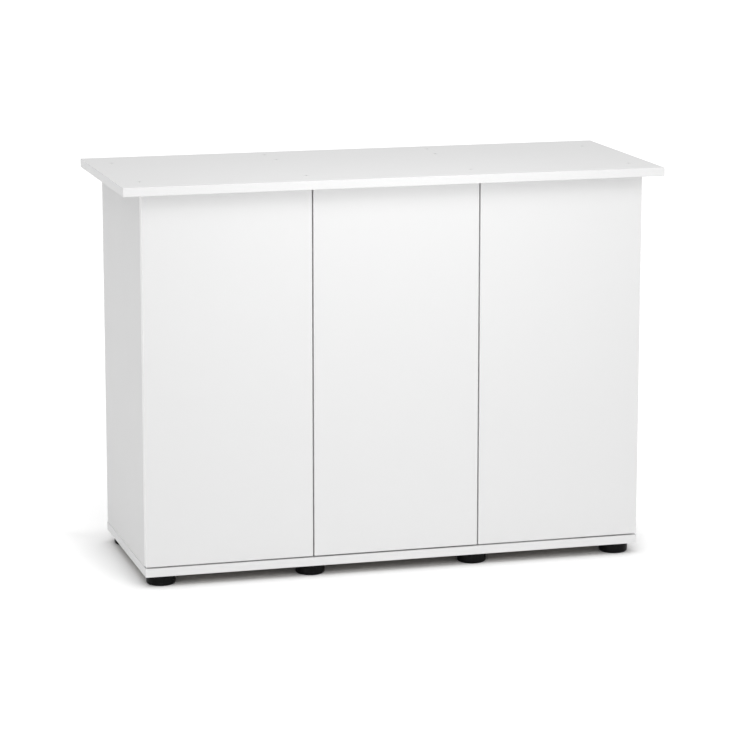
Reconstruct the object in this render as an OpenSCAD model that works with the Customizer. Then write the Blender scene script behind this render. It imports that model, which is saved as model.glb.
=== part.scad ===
// Three-door cabinet stand for a fish tank: a boarded carcass on eight feet, with three
// full-height doors on concealed cup hinges, push latches and two adjustable shelves.
// Millimetres. X to the right, Y to the rear, Z up. The origin lies on the floor, under the
// middle of the top plate.

/* [Overall] */
// Width of the top plate
top_w = 1010; // [800:5:1300]
// Depth of the top plate
top_d = 410; // [340:5:600]
// Height of the side panels, dividers and back panel between the two plates
panel_h = 681; // [540:1:860]
// Thickness of every board
board_t = 16; // [13:0.1:20]

/* [Plates] */
// How far the top plate stands out beyond each side panel
side_overhang = 36; // [10:1:60]
// How far the top plate stands out beyond the door faces
front_overhang = 21; // [5:1:60]
// How far the top plate stands out behind the base plate
rear_overhang = 22; // [5:1:60]
// How far the base plate stands out beyond each side panel
base_lip = 1; // [0:0.5:6]

/* [Doors] */
// Gap between neighbouring doors, and above and below them
door_gap = 3; // [2.5:0.5:5]
// Gap between the inner faces of the doors and the front edges of the carcass
door_clear = 2; // [2:0.1:3]
// How far each divider stands towards the middle from the centre of its door gap
divider_shift = 1.8; // [0:0.1:4]

/* [Back panel] */
// How far the back panel reaches past the outer face of each divider
back_lap = 17; // [10:1:60]
// Distance from the back of the back panel to the rear edge of the base plate
back_setback = 9.8; // [0:0.1:20]

/* [Feet] */
// Height of a foot
foot_h = 20; // [15:0.5:35]
// Radius of a foot
foot_r = 27; // [18:0.5:32]
// Radius of the rounding at a foot's lower edge
foot_round = 4; // [1:0.5:6]
// Distance from the ends of the base plate to the middles of the outer feet
foot_end_inset = 34.5; // [33:0.5:60]
// Distance from the front and rear edges of the base plate to the middles of the feet
foot_edge_inset = 34; // [33:0.5:60]
// Radius of the recess for a foot's screw
foot_recess_r = 7; // [6:0.5:9]
// Thickness of a foot above its recess
foot_web = 7; // [4:0.5:10]

/* [Shelves] */
// Gap between a shelf and the panel at each of its ends
shelf_gap = 1.5; // [1.2:0.1:3]
// Distance from the front edges of the carcass to a shelf
shelf_setback = 20; // [10:1:60]
// Row of pin holes that carries the shelves, counted from the lowest
shelf_row = 4; // [1:1:7]
// Distance from the floor board to the lowest pin hole
row_start = 200; // [120:1:240]
// Distance between pin holes
row_pitch = 32; // [25:1:40]
// Number of pin holes in a row
row_count = 9; // [8:1:9]
// Distance from the edges of the boards to the rows of pin holes
row_setback = 37; // [30:1:50]
// Radius of a shelf pin
pin_r = 2.5; // [2:0.1:3]
// Depth of a pin hole
pin_hole_depth = 7; // [5:0.5:7]
// How far a shelf pin stands out of its panel
pin_reach = 9; // [7:0.5:14]

/* [Screws and dowels] */
// Radius of the head of a carcass screw
screw_head_r = 5; // [4:0.1:6]
// Radius of the plain part of a carcass screw, which fills its plate
screw_neck_r = 3.5; // [3:0.1:4]
// Radius of the threaded part of a carcass screw
screw_thread_r = 2.5; // [2:0.1:3]
// Length of a carcass screw
screw_length = 50; // [40:1:60]
// Distance from the front edges of the panels to their screws
front_screw_setback = 33.5; // [25:0.5:60]
// Distance from the rear edges of the side panels to their screws
side_screw_setback = 58; // [25:0.5:80]
// Distance from the rear edges of the dividers to their screws
divider_screw_setback = 65; // [40:0.5:80]
// Distance from the ends of the back panel to its screws
back_screw_inset = 20; // [10:0.5:40]
// Distance from each screw to the dowel beside it
dowel_offset = 32; // [20:1:64]
// Radius of a dowel
dowel_r = 4; // [3:0.5:5]
// Depth of a dowel in its plate
dowel_in_plate = 10; // [6:1:11]
// Depth of a dowel in its panel
dowel_in_panel = 20; // [15:1:30]

/* [Hinges] */
// Distance from the ends of a door to the middles of its hinges
hinge_inset = 100; // [60:1:160]
// Radius of a hinge cup
cup_r = 17.5; // [17.5:0.1:18]
// Depth of a hinge cup
cup_depth = 11.7; // [11.7:0.1:12]
// Distance from the door's hinge edge to the middle of the cup
cup_u = 21; // [20.5:0.1:21.5]
// Thickness of the cup's flange
flange_t = 1.1; // [0.8:0.1:1.1]
// Distance between the two screws of a cup
cup_screw_pitch = 48; // [45:1:52]
// Distance from the front edge of a panel to the mounting plate's screws
plate_setback = 37; // [34:1:45]
// Distance between the two screws of a mounting plate
plate_screw_pitch = 32; // [32:1:40]
// Radius of the long fixed hinge pin
arm_pin_r = 1.5; // [1.2:0.1:1.6]
// Radius of the other hinge pins
link_pin_r = 1.2; // [1:0.1:1.2]
// Radial play of a pin in its hole
pin_play = 0.05; // [0.02:0.01:0.1]

/* [Push latches] */
// Height of the latches above the floor board
latch_height = 460; // [420:1:480]
// Length of a latch housing
latch_l = 72; // [60:1:90]
// Width of a latch housing
latch_w = 14; // [12:0.5:18]
// Radius of a latch plunger
plunger_r = 4; // [3:0.1:5]
// Length of a latch plunger
plunger_l = 58; // [40:1:65]

/* [Hidden] */
$fn = 48;
eps = 0.01;

white = [0.95, 0.95, 0.95];
black = [0.05, 0.05, 0.05];
steel = [0.72, 0.73, 0.75];

// Widths
carcass_w = top_w - 2 * side_overhang;
base_w = carcass_w + 2 * base_lip;
door_w = (carcass_w - 2 * door_gap) / 3;
side_x = (carcass_w - board_t) / 2;
divider_x = (door_w + door_gap) / 2 - divider_shift;
wall = board_t / 2;

// Depths
base_d = top_d - front_overhang - rear_overhang;
base_front = -top_d / 2 + front_overhang;
base_rear = base_front + base_d;
carcass_front = base_front + board_t + door_clear;
back_rear = base_rear - back_setback;
back_front = back_rear - board_t;
back_w = 2 * (divider_x + wall + back_lap);

// Heights
floor_z = foot_h + board_t;
roof_z = floor_z + panel_h;
door_z = floor_z + door_gap;
door_h = panel_h - 2 * door_gap;
hinge_zs = [door_z + hinge_inset, door_z + door_h - hinge_inset];
latch_z = floor_z + latch_height;

// Carcass screws and dowels, as points on the plates
screw_play = 0.15;
front_screw_y = carcass_front + front_screw_setback;
side_screw_ys = [front_screw_y, base_rear - side_screw_setback];
divider_screw_ys = [front_screw_y, back_front - divider_screw_setback];
back_screw_xs = [-back_w / 2 + back_screw_inset, back_w / 2 - back_screw_inset];
back_y = (back_front + back_rear) / 2;
side_dowel_ys = [side_screw_ys[0] + dowel_offset, side_screw_ys[1] - dowel_offset];
divider_dowel_ys = [divider_screw_ys[0] + dowel_offset, divider_screw_ys[1] - dowel_offset];
back_dowel_xs = [back_screw_xs[0] + 2 * dowel_offset, back_screw_xs[1] - 2 * dowel_offset];
side_screw_points = [for (s = [-1, 1]) for (y = side_screw_ys) [s * side_x, y]];
divider_screw_points = [for (s = [-1, 1]) for (y = divider_screw_ys) [s * divider_x, y]];
back_screw_points = [for (x = back_screw_xs) [x, back_y]];
screw_points = concat(side_screw_points, divider_screw_points, back_screw_points);
side_dowel_points = [for (s = [-1, 1]) for (y = side_dowel_ys) [s * side_x, y]];
divider_dowel_points = [for (s = [-1, 1]) for (y = divider_dowel_ys) [s * divider_x, y]];
back_dowel_points = [for (x = back_dowel_xs) [x, back_y]];
dowel_points = concat(side_dowel_points, divider_dowel_points, back_dowel_points);
rear_screw_zs = [floor_z + 110, floor_z + panel_h / 2, roof_z - 110];
dowel_play = 0.15;
dowel_end_gap = 1;

// Shelves and their pins
pin_row_ys = [carcass_front + row_setback, back_front - row_setback];
pin_zs = [for (i = [0 : row_count - 1]) floor_z + row_start + i * row_pitch];
shelf_z = pin_zs[shelf_row] + pin_r;
shelf_front = carcass_front + shelf_setback;
shelf_rear = back_front - 4;
pin_collar_r = pin_r + 1;
pin_collar_t = 1;

// Feet
foot_xs = [
    -base_w / 2 + foot_end_inset, -divider_x - 0.5, divider_x + 0.5, base_w / 2 - foot_end_inset
];
foot_front_y = base_front + foot_edge_inset;
foot_rear_y = base_rear - foot_edge_inset;
foot_screw_head_r = 4.5;
foot_screw_head_t = 3;
foot_screw_r = 2.2;
foot_screw_bite = 12;

// Hinge linkage, as [distance from the door's hinge edge, distance behind the carcass front].
// The inner link joins a to c, the outer link joins b to d, and c and d lie in the cup.
pivot_a = [34.4, 11.3];
pivot_b = [25.3, -7.3];
pivot_c = [9.7, -5.1];
pivot_d = [12, -8];
inner_bow = 8;
outer_bow = 3.2;
link_half_w = 1.5;
inner_eye_a = 3;
inner_eye_c = 2.4;
outer_eye_b = 2.2;
// The pin at d shifts a little along its link as the door swings, so its hole is wide
d_hole_r = 2.15;
d_hole_shift = [0.23, -0.56];
d_eye_wall = 1.1;
link_inside_z = 1;
link_outside_z = 6.5;
ear_inside_z = 6.8;
ear_outside_z = 8.3;
rib_half_z = 0.7;
pocket_left = 6.2;
pocket_right = 31.5;
pocket_half_z = 8.7;
pocket_narrow_z = 6.95;
pocket_step = 17;
pocket_floor = 0.8;
cup_face = -door_clear;
cup_fit = 0.1;
flange_screw_shift = 6;
flange_wing_r = 5;
plate_body_t = 8;
plate_wing_t = 2.2;
plate_rear = 62;
arm_web_t = 1.5;
arm_front = 15.6;
plate_screw_r = 2.4;
plate_screw_bite = 10;
cup_screw_r = 1.6;
cup_screw_bite = 9;

// Each door as [hinge edge x, 1 where the hinges are on the left, hinge panel's face from the edge]
left_door = [-carcass_w / 2, 1, board_t];
middle_door = [door_w / 2, -1, door_w / 2 - divider_x + wall];
right_door = [carcass_w / 2, -1, board_t];

// Each latch as [face of the divider that carries it, direction away from that divider]
left_latch = [-divider_x - wall, -1];
middle_latch = [-divider_x + wall, 1];
right_latch = [divider_x + wall, 1];
latch_h = 14;
latch_front_gap = 3;
latch_flange_t = 3;
latch_flange_l = 24;
latch_flange_z = 15;
latch_screw_z = 11;
latch_screw_v = latch_front_gap + latch_l * 2 / 3;
plunger_play = 0.1;
plunger_tip_gap = 0.3;
strike_r = 7;
strike_t = 1;
plunger_tip = -door_clear + strike_t + plunger_tip_gap;
latch_screw_r = 1.6;
latch_screw_bite = 6;

// ---- helpers ----

// A box from one corner to the other
module box(low, high) {
    translate(low)
        cube(high - low);
}

// A countersunk screw with a hex socket, head up, its head's face at the origin
module countersunk_screw(head_r, neck_r, thread_r, neck_l, length) {
    difference() {
        union() {
            translate([0, 0, -(head_r - neck_r)])
                cylinder(h = head_r - neck_r, r1 = neck_r, r2 = head_r);
            translate([0, 0, -neck_l])
                cylinder(h = neck_l - (head_r - neck_r) + eps, r = neck_r);
            translate([0, 0, -length])
                cylinder(h = length - neck_l + eps, r = thread_r);
        }
        translate([0, 0, -head_r / 2])
            cylinder(h = head_r / 2 + eps, r = head_r * 0.45, $fn = 6);
    }
}

// The hole that a countersunk screw passes through, mouth up at the origin
module countersunk_hole(head_r, neck_r, length) {
    sink = head_r - neck_r;
    translate([0, 0, -sink - screw_play])
        cylinder(h = sink + screw_play + eps, r1 = neck_r + screw_play, r2 = head_r + screw_play);
    translate([0, 0, -length - eps])
        cylinder(h = length, r = neck_r + screw_play);
}

// One carcass screw
module carcass_screw() {
    countersunk_screw(screw_head_r, screw_neck_r, screw_thread_r, board_t, screw_length);
}

// The carcass screws of one plate, heads on the plane z
module carcass_screws(z, up) {
    for (p = screw_points)
        translate([p[0], p[1], z])
            rotate([up ? 0 : 180, 0, 0])
                carcass_screw();
}

// The holes of the carcass screws in one plate
module plate_holes(z, up) {
    for (p = screw_points)
        translate([p[0], p[1], z])
            rotate([up ? 0 : 180, 0, 0])
                countersunk_hole(screw_head_r, screw_neck_r, board_t + 2 * eps);
}

// The blind holes of the dowels in the face of a plate
module plate_dowel_holes(z) {
    for (p = dowel_points)
        translate([p[0], p[1], z])
            cylinder(h = dowel_in_plate + dowel_end_gap, r = dowel_r + dowel_play);
}

// The holes in both ends of an upright panel, for screws and dowels at the given points
module end_holes(screws, pegs) {
    bite = screw_length - board_t + 2;
    for (p = screws)
        for (z = [floor_z - eps, roof_z - bite + eps])
            translate([p[0], p[1], z])
                cylinder(h = bite, r = screw_thread_r + screw_play);
    peg = dowel_in_panel + dowel_end_gap;
    for (p = pegs)
        for (z = [floor_z - eps, roof_z - peg + eps])
            translate([p[0], p[1], z])
                cylinder(h = peg, r = dowel_r + dowel_play);
}

// The rows of shelf-pin holes in a face at x, drilled in the direction of side
module pin_holes(x, side) {
    for (y = pin_row_ys)
        for (z = pin_zs)
            translate([x - side * eps, y, z])
                rotate([0, side * 90, 0])
                    cylinder(h = pin_hole_depth, r = pin_r + pin_play);
}

// The pilot holes of the mounting plates in the panel that carries a door's hinges
module hinge_plate_holes(door) {
    on_hinges(door)
        for (s = [-1, 1])
            translate([door[2] - plate_screw_bite - 0.5, plate_setback, s * plate_screw_pitch / 2])
                rotate([0, 90, 0])
                    cylinder(h = plate_screw_bite + 1, r = plate_screw_r + pin_play);
}

// The pilot holes of a latch's screws in the divider that carries it
module latch_pilot_holes(latch) {
    at_latch_screws(latch)
        translate([0, 0, -latch_screw_bite - 0.5])
            cylinder(h = latch_screw_bite + 0.5 + eps, r = latch_screw_r + pin_play);
}

// Places children at both hinges of a door: X runs in from the hinge edge, Y to the rear
module on_hinges(door) {
    for (z = hinge_zs)
        translate([door[0], carcass_front, z])
            mirror([door[1] < 0 ? 1 : 0, 0, 0])
                children();
}

// ---- boards ----

module top_plate() {
    color(white)
        difference() {
            box([-top_w / 2, -top_d / 2, roof_z], [top_w / 2, top_d / 2, roof_z + board_t]);
            plate_holes(roof_z + board_t, true);
            plate_dowel_holes(roof_z - eps);
        }
}

module base_plate() {
    color(white)
        difference() {
            box([-base_w / 2, base_front, foot_h], [base_w / 2, base_rear, floor_z]);
            plate_holes(foot_h, false);
            plate_dowel_holes(floor_z + eps - dowel_in_plate - dowel_end_gap);
            for (x = foot_xs)
                for (y = [foot_front_y, foot_rear_y])
                    translate([x, y, foot_h - eps])
                        cylinder(h = foot_screw_bite + 1, r = foot_screw_r + pin_play);
        }
}

// A side panel, side -1 for the left one and 1 for the right one
module side_panel(side, door) {
    x = side * side_x;
    color(white)
        difference() {
            box([x - wall, carcass_front, floor_z], [x + wall, base_rear, roof_z]);
            end_holes([for (y = side_screw_ys) [x, y]], [for (y = side_dowel_ys) [x, y]]);
            pin_holes(x - side * wall, side);
            hinge_plate_holes(door);
        }
}

module side_panel_left() {
    side_panel(-1, left_door);
}

module side_panel_right() {
    side_panel(1, right_door);
}

// An upright divider, side -1 for the left one and 1 for the right one
module divider(side) {
    x = side * divider_x;
    color(white)
        difference() {
            box([x - wall, carcass_front, floor_z], [x + wall, back_front, roof_z]);
            end_holes([for (y = divider_screw_ys) [x, y]], [for (y = divider_dowel_ys) [x, y]]);
            pin_holes(x - wall, 1);
            pin_holes(x + wall, -1);
            for (z = rear_screw_zs)
                translate([x, back_front + eps, z])
                    rotate([90, 0, 0])
                        cylinder(h = screw_length - board_t + 2, r = screw_thread_r + screw_play);
            children();
        }
}

module divider_left() {
    divider(-1) {
        latch_pilot_holes(left_latch);
        latch_pilot_holes(middle_latch);
    }
}

module divider_right() {
    divider(1) {
        latch_pilot_holes(right_latch);
        hinge_plate_holes(middle_door);
    }
}

module back_panel() {
    color(white)
        difference() {
            box([-back_w / 2, back_front, floor_z], [back_w / 2, back_rear, roof_z]);
            end_holes(back_screw_points, back_dowel_points);
            for (side = [-1, 1])
                for (z = rear_screw_zs)
                    translate([side * divider_x, back_rear, z])
                        rotate([-90, 0, 0])
                            countersunk_hole(screw_head_r, screw_neck_r, board_t + 2 * eps);
        }
}

// A door with the bores of its two hinge cups and their pilot holes
module door(spec) {
    low = spec[1] > 0 ? spec[0] : spec[0] - door_w;
    color(white)
        difference() {
            box([low, base_front, door_z], [low + door_w, base_front + board_t, door_z + door_h]);
            on_hinges(spec)
                union() {
                    translate([cup_u, cup_face + eps, 0])
                        rotate([90, 0, 0])
                            cylinder(h = cup_depth + cup_fit, r = cup_r);
                    cup_screw_places()
                        cylinder(h = cup_screw_bite + 0.5, r = cup_screw_r + pin_play);
                }
        }
}

module door_left() {
    door(left_door);
}

module door_middle() {
    door(middle_door);
}

module door_right() {
    door(right_door);
}

// A shelf between two inner faces
module shelf(low_x, high_x) {
    low = [low_x + shelf_gap, shelf_front, shelf_z];
    high = [high_x - shelf_gap, shelf_rear, shelf_z + board_t];
    color(white)
        box(low, high);
}

module shelf_left() {
    shelf(-side_x + wall, -divider_x - wall);
}

module shelf_middle() {
    shelf(-divider_x + wall, divider_x - wall);
}

// One shelf pin in a face at x, standing out in the direction of side
module shelf_pin(x, y, side) {
    sunk = pin_hole_depth - 0.5;
    translate([x, y, pin_zs[shelf_row]])
        rotate([0, side * 90, 0]) {
            translate([0, 0, -sunk])
                cylinder(h = sunk + pin_reach, r = pin_r);
            cylinder(h = pin_collar_t, r = pin_collar_r);
        }
}

module shelf_pins() {
    color(steel)
        for (y = pin_row_ys) {
            shelf_pin(-side_x + wall, y, 1);
            shelf_pin(-divider_x - wall, y, -1);
            shelf_pin(-divider_x + wall, y, 1);
            shelf_pin(divider_x - wall, y, -1);
        }
}

// ---- feet ----

// A turned foot with a rounded lower edge and a recess for its screw
module foot(x, y) {
    color(black)
        translate([x, y, 0])
            difference() {
                union() {
                    translate([0, 0, foot_round])
                        cylinder(h = foot_h - foot_round, r = foot_r);
                    rotate_extrude()
                        intersection() {
                            union() {
                                square([foot_r - foot_round, foot_round + eps]);
                                translate([foot_r - foot_round, foot_round])
                                    circle(r = foot_round);
                            }
                            square([foot_r, foot_round + eps]);
                        }
                }
                translate([0, 0, -eps])
                    cylinder(h = foot_h - foot_web + eps, r = foot_recess_r);
                cylinder(h = foot_h + eps, r = foot_screw_r + screw_play);
            }
}

module foot_front_1() {
    foot(foot_xs[0], foot_front_y);
}

module foot_front_2() {
    foot(foot_xs[1], foot_front_y);
}

module foot_front_3() {
    foot(foot_xs[2], foot_front_y);
}

module foot_front_4() {
    foot(foot_xs[3], foot_front_y);
}

module foot_rear_1() {
    foot(foot_xs[0], foot_rear_y);
}

module foot_rear_2() {
    foot(foot_xs[1], foot_rear_y);
}

module foot_rear_3() {
    foot(foot_xs[2], foot_rear_y);
}

module foot_rear_4() {
    foot(foot_xs[3], foot_rear_y);
}

module foot_screws() {
    head_z = foot_h - foot_web - foot_screw_head_t;
    color(steel)
        for (x = foot_xs)
            for (y = [foot_front_y, foot_rear_y])
                translate([x, y, head_z])
                    difference() {
                        union() {
                            cylinder(h = foot_screw_head_t, r = foot_screw_head_r);
                            cylinder(h = foot_h - head_z + foot_screw_bite, r = foot_screw_r);
                        }
                        translate([0, 0, -eps])
                            cylinder(h = foot_screw_head_t * 0.6, r = foot_screw_head_r * 0.45, $fn = 6);
                    }
}

// ---- carcass hardware ----

module top_screws() {
    color(steel)
        carcass_screws(roof_z + board_t, true);
}

module base_screws() {
    color(steel)
        carcass_screws(foot_h, false);
}

module back_screws() {
    color(steel)
        for (side = [-1, 1])
            for (z = rear_screw_zs)
                translate([side * divider_x, back_rear, z])
                    rotate([-90, 0, 0])
                        carcass_screw();
}

module dowels() {
    color("burlywood")
        for (p = dowel_points) {
            translate([p[0], p[1], roof_z - dowel_in_panel])
                cylinder(h = dowel_in_panel + dowel_in_plate, r = dowel_r);
            translate([p[0], p[1], floor_z - dowel_in_plate])
                cylinder(h = dowel_in_panel + dowel_in_plate, r = dowel_r);
        }
}

// ---- hinges ----

// Places children at the two screws of a cup, Z pointing into the door
module cup_screw_places() {
    for (s = [-1, 1])
        translate([cup_u + flange_screw_shift, cup_face + eps, s * cup_screw_pitch / 2])
            rotate([90, 0, 0])
                children();
}

// The cup of one hinge: a disc with a stepped pocket for the links, a rib between them and a flange
module cup() {
    bottom = cup_face - cup_depth;
    floor_y = bottom + pocket_floor;
    difference() {
        union() {
            translate([cup_u, cup_face, 0])
                rotate([90, 0, 0])
                    cylinder(h = cup_depth, r = cup_r - cup_fit);
            translate([cup_u, cup_face + flange_t, 0])
                rotate([90, 0, 0])
                    cylinder(h = flange_t, r = cup_r - cup_fit);
            for (s = [-1, 1])
                translate([cup_u + flange_screw_shift, cup_face + flange_t, s * cup_screw_pitch / 2])
                    rotate([90, 0, 0])
                        cylinder(h = flange_t, r = flange_wing_r);
            box(
                [cup_u + flange_screw_shift - flange_wing_r, cup_face, -cup_screw_pitch / 2],
                [cup_u + flange_screw_shift + flange_wing_r, cup_face + flange_t, cup_screw_pitch / 2]
            );
        }
        difference() {
            union() {
                box([pocket_left, floor_y, -pocket_narrow_z], [pocket_right, 1, pocket_narrow_z]);
                box([pocket_step, floor_y, -pocket_half_z], [pocket_right, 1, pocket_half_z]);
            }
            box([pocket_left - 1, bottom, -rib_half_z], [pocket_step, cup_face - 1, rib_half_z]);
        }
        box([0, cup_face, -pocket_half_z], [pocket_step, 1, pocket_half_z]);
        pin_rod(pivot_c, -cup_pin_end(), rib_half_z + eps, link_pin_r + pin_play);
        pin_rod(pivot_d, -rib_half_z - eps, cup_pin_end(), link_pin_r + pin_play);
        for (s = [-1, 1])
            translate([cup_u + flange_screw_shift, cup_face + flange_t + eps, s * cup_screw_pitch / 2])
                rotate([90, 0, 0])
                    cylinder(h = flange_t + 2 * eps, r = cup_screw_r + screw_play);
    }
}

// How far the pins of a cup reach into its walls
function cup_pin_end() = pocket_half_z + 1.3;

// An upright rod at a pivot, from one height to another
module pin_rod(pivot, low, high, r) {
    translate([pivot[0], pivot[1], low])
        cylinder(h = high - low, r = r);
}

module cups(door) {
    color(steel)
        on_hinges(door)
            cup();
}

module cups_left() {
    cups(left_door);
}

module cups_middle() {
    cups(middle_door);
}

module cups_right() {
    cups(right_door);
}

// The two short pins of each cup, which the links turn on
module cup_pins(door) {
    color(steel)
        on_hinges(door) {
            pin_rod(pivot_c, -cup_pin_end(), rib_half_z - 0.1, link_pin_r);
            pin_rod(pivot_d, -rib_half_z + 0.1, cup_pin_end(), link_pin_r);
        }
}

module cup_pins_left() {
    cup_pins(left_door);
}

module cup_pins_middle() {
    cup_pins(middle_door);
}

module cup_pins_right() {
    cup_pins(right_door);
}

module cup_screws(door) {
    color(steel)
        on_hinges(door)
            cup_screw_places()
                translate([0, 0, -flange_t])
                    union() {
                        translate([0, 0, -1.4])
                            cylinder(h = 1.4, r1 = 2, r2 = 3);
                        cylinder(h = cup_screw_bite + flange_t, r = cup_screw_r);
                    }
}

module cup_screws_left() {
    cup_screws(left_door);
}

module cup_screws_middle() {
    cup_screws(middle_door);
}

module cup_screws_right() {
    cup_screws(right_door);
}

// A point along a bowed bar from one pivot to another, shifted sideways
function bow_point(from, to, bow, t, shift) =
    let (run = to - from)
    let (length = norm(run))
    let (across = [-run[1], run[0]] / length)
    from + run * t + across * (bow * 4 * t * (1 - t) + shift);

// The outline of a bowed bar of even width
function bow_outline(from, to, bow, half_w) =
    let (steps = [for (i = [0 : 12]) i / 12])
    concat(
        [for (t = steps) bow_point(from, to, bow, t, half_w)],
        [for (i = [12 : -1 : 0]) bow_point(from, to, bow, steps[i], -half_w)]
    );

// The inner link of one hinge, below the rib
module inner_link() {
    translate([0, 0, -link_outside_z])
        difference() {
            linear_extrude(height = link_outside_z - link_inside_z)
                union() {
                    polygon(bow_outline(pivot_a, pivot_c, inner_bow, link_half_w));
                    translate(pivot_a)
                        circle(r = inner_eye_a);
                    translate(pivot_c)
                        circle(r = inner_eye_c);
                }
            pin_rod(pivot_a, -1, link_outside_z, arm_pin_r + pin_play);
            pin_rod(pivot_c, -1, link_outside_z, link_pin_r + pin_play);
        }
}

// The outer link of one hinge, above the rib
module outer_link() {
    d_centre = pivot_d + d_hole_shift;
    translate([0, 0, link_inside_z])
        difference() {
            linear_extrude(height = link_outside_z - link_inside_z)
                union() {
                    polygon(bow_outline(pivot_b, d_centre, outer_bow, link_half_w));
                    translate(pivot_b)
                        circle(r = outer_eye_b);
                    translate(d_centre)
                        circle(r = d_hole_r + d_eye_wall);
                }
            pin_rod(pivot_b, -1, link_outside_z, link_pin_r + pin_play);
            pin_rod(d_centre, -1, link_outside_z, d_hole_r);
        }
}

module inner_links(door) {
    color(steel)
        on_hinges(door)
            inner_link();
}

module inner_links_left() {
    inner_links(left_door);
}

module inner_links_middle() {
    inner_links(middle_door);
}

module inner_links_right() {
    inner_links(right_door);
}

module outer_links(door) {
    color(steel)
        on_hinges(door)
            outer_link();
}

module outer_links_left() {
    outer_links(left_door);
}

module outer_links_middle() {
    outer_links(middle_door);
}

module outer_links_right() {
    outer_links(right_door);
}

// The fixed arm of one hinge: a channel over the mounting plate, with ears for the pins
module arm(face) {
    web_u = face + plate_body_t + 0.2;
    low_u = face + plate_wing_t + 0.3;
    back_v = arm_front + 4;
    ear_t = ear_outside_z - ear_inside_z;
    difference() {
        union() {
            box([web_u, arm_front, -ear_outside_z], [web_u + arm_web_t, plate_rear - 2, ear_outside_z]);
            for (z = [-ear_outside_z, ear_inside_z])
                box([low_u, arm_front, z], [web_u + eps, plate_rear - 2, z + ear_t]);
            for (z = [-ear_outside_z, ear_inside_z])
                translate([0, 0, z])
                    linear_extrude(height = ear_t)
                        union() {
                            polygon([
                                [low_u, back_v], [low_u, arm_front - 1], [pivot_a[0] - 8, 6],
                                pivot_a - [0, inner_eye_a], pivot_a + [inner_eye_a, 0],
                                pivot_a + [inner_eye_a, 4], [web_u + arm_web_t, back_v + 2]
                            ]);
                            translate(pivot_a)
                                circle(r = inner_eye_a);
                        }
            translate([0, 0, ear_inside_z])
                linear_extrude(height = ear_t)
                    union() {
                        polygon([
                            pivot_b - [outer_eye_b, 0], pivot_b + [outer_eye_b, 0],
                            [pivot_b[0] + 4, 2], pivot_a - [0, inner_eye_a], pivot_a - [5, 0],
                            [pivot_b[0] - outer_eye_b, 8]
                        ]);
                        translate(pivot_b)
                            circle(r = outer_eye_b);
                    }
        }
        pin_rod(pivot_a, -ear_outside_z - 1, ear_outside_z + 1, arm_pin_r + pin_play);
        pin_rod(pivot_b, ear_inside_z - 1, ear_outside_z + 1, link_pin_r + pin_play);
    }
}

module arms(door) {
    color(steel)
        on_hinges(door)
            arm(door[2]);
}

module arms_left() {
    arms(left_door);
}

module arms_middle() {
    arms(middle_door);
}

module arms_right() {
    arms(right_door);
}

// The fixed pins of every hinge: a long one through both ears, and a stub in the upper ear
module arm_pins() {
    color(steel)
        for (door = [left_door, middle_door, right_door])
            on_hinges(door) {
                pin_rod(pivot_a, -ear_outside_z, ear_outside_z, arm_pin_r);
                pin_rod(pivot_b, link_inside_z, ear_outside_z, link_pin_r);
            }
}

// The mounting plate of one hinge: a body inside the arm's channel and two wings for screws
module hinge_plate(face) {
    wing_z = plate_screw_pitch / 2 + 8;
    front = plate_setback - 9;
    difference() {
        union() {
            box(
                [face, arm_front + 5, -ear_inside_z + 0.3],
                [face + plate_body_t, plate_rear, ear_inside_z - 0.3]
            );
            box([face, front, -wing_z], [face + plate_wing_t, front + 18, wing_z]);
        }
        for (s = [-1, 1])
            translate([face - eps, plate_setback, s * plate_screw_pitch / 2])
                rotate([0, 90, 0])
                    cylinder(h = plate_wing_t + 1, r = plate_screw_r + screw_play);
    }
}

module hinge_plates(door) {
    color(steel)
        on_hinges(door)
            hinge_plate(door[2]);
}

module hinge_plates_left() {
    hinge_plates(left_door);
}

module hinge_plates_middle() {
    hinge_plates(middle_door);
}

module hinge_plates_right() {
    hinge_plates(right_door);
}

// The screws of every mounting plate, with raised heads
module plate_screws() {
    color(steel)
        for (door = [left_door, middle_door, right_door])
            on_hinges(door)
                for (s = [-1, 1])
                    translate([door[2], plate_setback, s * plate_screw_pitch / 2])
                        rotate([0, 90, 0])
                            union() {
                                translate([0, 0, -plate_screw_bite])
                                    cylinder(h = plate_screw_bite + plate_wing_t + 1, r = plate_screw_r);
                                translate([0, 0, plate_wing_t])
                                    cylinder(h = 1.6, r1 = 4, r2 = 3);
                            }
}

// ---- push latches ----

// Places children at a latch: X away from the divider, Y to the rear, on the plunger's axis
module at_latch(latch) {
    translate([latch[0], carcass_front, latch_z])
        mirror([latch[1] < 0 ? 1 : 0, 0, 0])
            translate([latch_w / 2, 0, 0])
                children();
}

// Places children at a latch's screws on the face of its divider, Z away from that face
module at_latch_screws(latch) {
    for (s = [-1, 1])
        translate([latch[0], carcass_front + latch_screw_v, latch_z + s * latch_screw_z])
            rotate([0, latch[1] * 90, 0])
                children();
}

// A latch housing with a blind bore for its plunger and a flange with two screw holes
module latch_housing(latch) {
    half_w = latch_w / 2;
    flange_low = latch_screw_v - latch_flange_l / 2;
    color(white)
        difference() {
            at_latch(latch)
                union() {
                    box(
                        [-half_w, latch_front_gap, -latch_h / 2],
                        [half_w, latch_front_gap + latch_l, latch_h / 2]
                    );
                    box(
                        [-half_w, flange_low, -latch_flange_z],
                        [-half_w + latch_flange_t, flange_low + latch_flange_l, latch_flange_z]
                    );
                }
            at_latch(latch)
                translate([0, latch_front_gap - eps, 0])
                    rotate([-90, 0, 0])
                        cylinder(h = latch_l - 5, r = plunger_r + plunger_play);
            at_latch_screws(latch)
                translate([0, 0, -eps])
                    cylinder(h = latch_flange_t + 2 * eps, r = latch_screw_r + screw_play);
        }
}

module latch_housing_left() {
    latch_housing(left_latch);
}

module latch_housing_middle() {
    latch_housing(middle_latch);
}

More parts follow.
